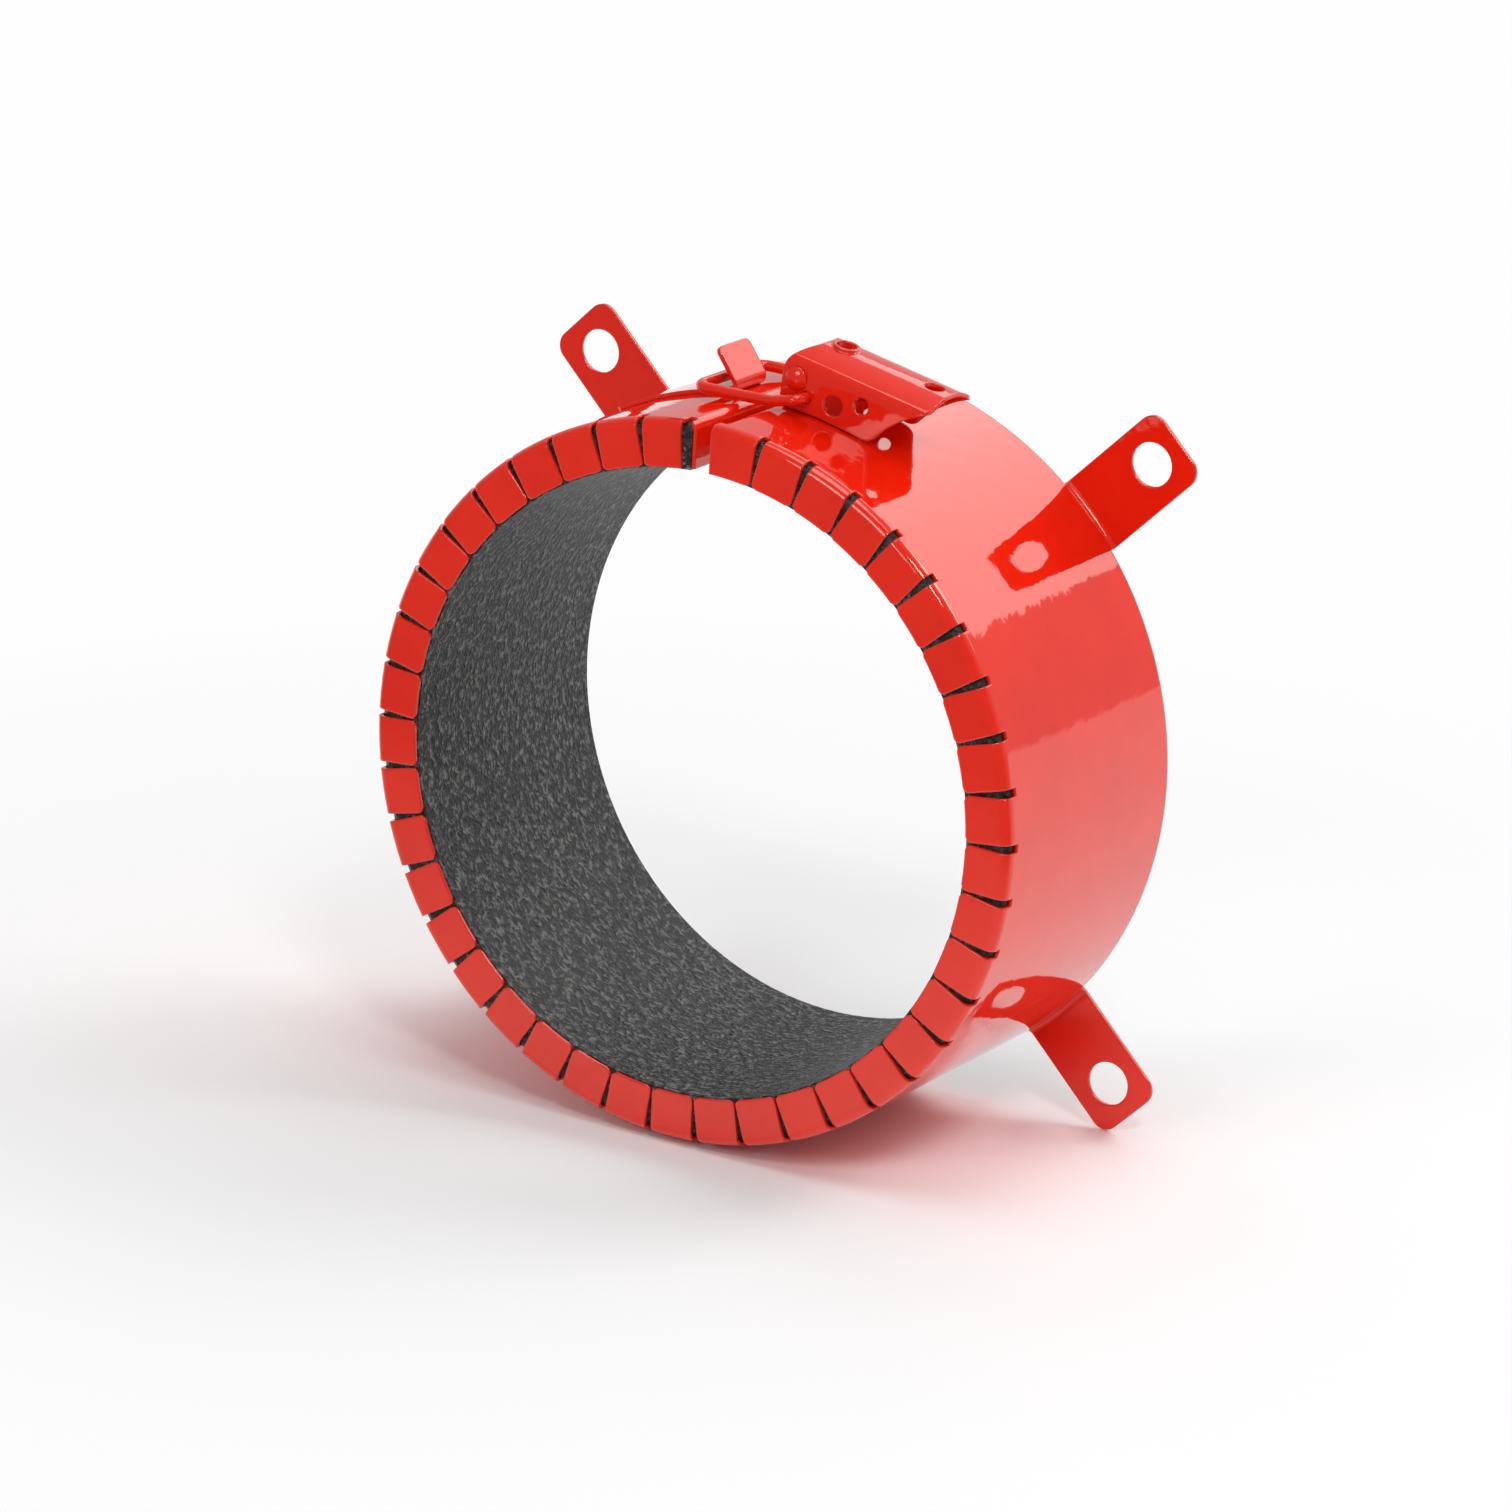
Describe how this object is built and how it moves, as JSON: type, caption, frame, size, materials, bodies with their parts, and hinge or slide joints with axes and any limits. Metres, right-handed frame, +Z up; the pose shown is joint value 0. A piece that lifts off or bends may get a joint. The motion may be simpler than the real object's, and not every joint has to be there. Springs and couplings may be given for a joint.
{
  "type": "pipe fire collar",
  "caption": "Red sheet-metal fire collar with an intumescent liner, a comb of folded fingers, wall lugs with bolt holes and a toggle latch.",
  "frame": {"origin": "on the pipe axis, in the wall plane that the backs of the lugs lie in", "axes": "+Y into the wall along the pipe axis, +Z up towards the split and the latch, +X to the right seen from the front"},
  "size_m": [0.1316, 0.057, 0.1421],
  "materials": {
    "red_paint": "gloss",
    "liner_dark": "matte",
    "liner_light": "matte"
  },
  "bodies": {
    "collar": {"collar_shell": "red_paint", "liner_outer_layer": "liner_dark", "liner_inner_layer": "liner_light", "latch_base": "red_paint", "lever_rivets": "red_paint", "catch_plate": "red_paint"},
    "lever": {"latch_lever": "red_paint"},
    "bail": {"bail_wire": "red_paint"}
  },
  "joints": [
    {"name": "lever_hinge", "type": "hinge", "parent": "collar", "child": "lever", "pos_m": [0.00676, -0.03, 0.07063], "axis": [0, -1, 0], "range_deg": [0, 130]},
    {"name": "bail_hinge", "type": "hinge", "parent": "lever", "child": "bail", "pos_m": [0.00877, -0.03, 0.06752], "axis": [0, -1, 0], "range_deg": [-112, 0]}
  ],
  "couplings": [
    {"joint": "bail_hinge", "follows": "lever_hinge", "ratio": -0.86}
  ]
}
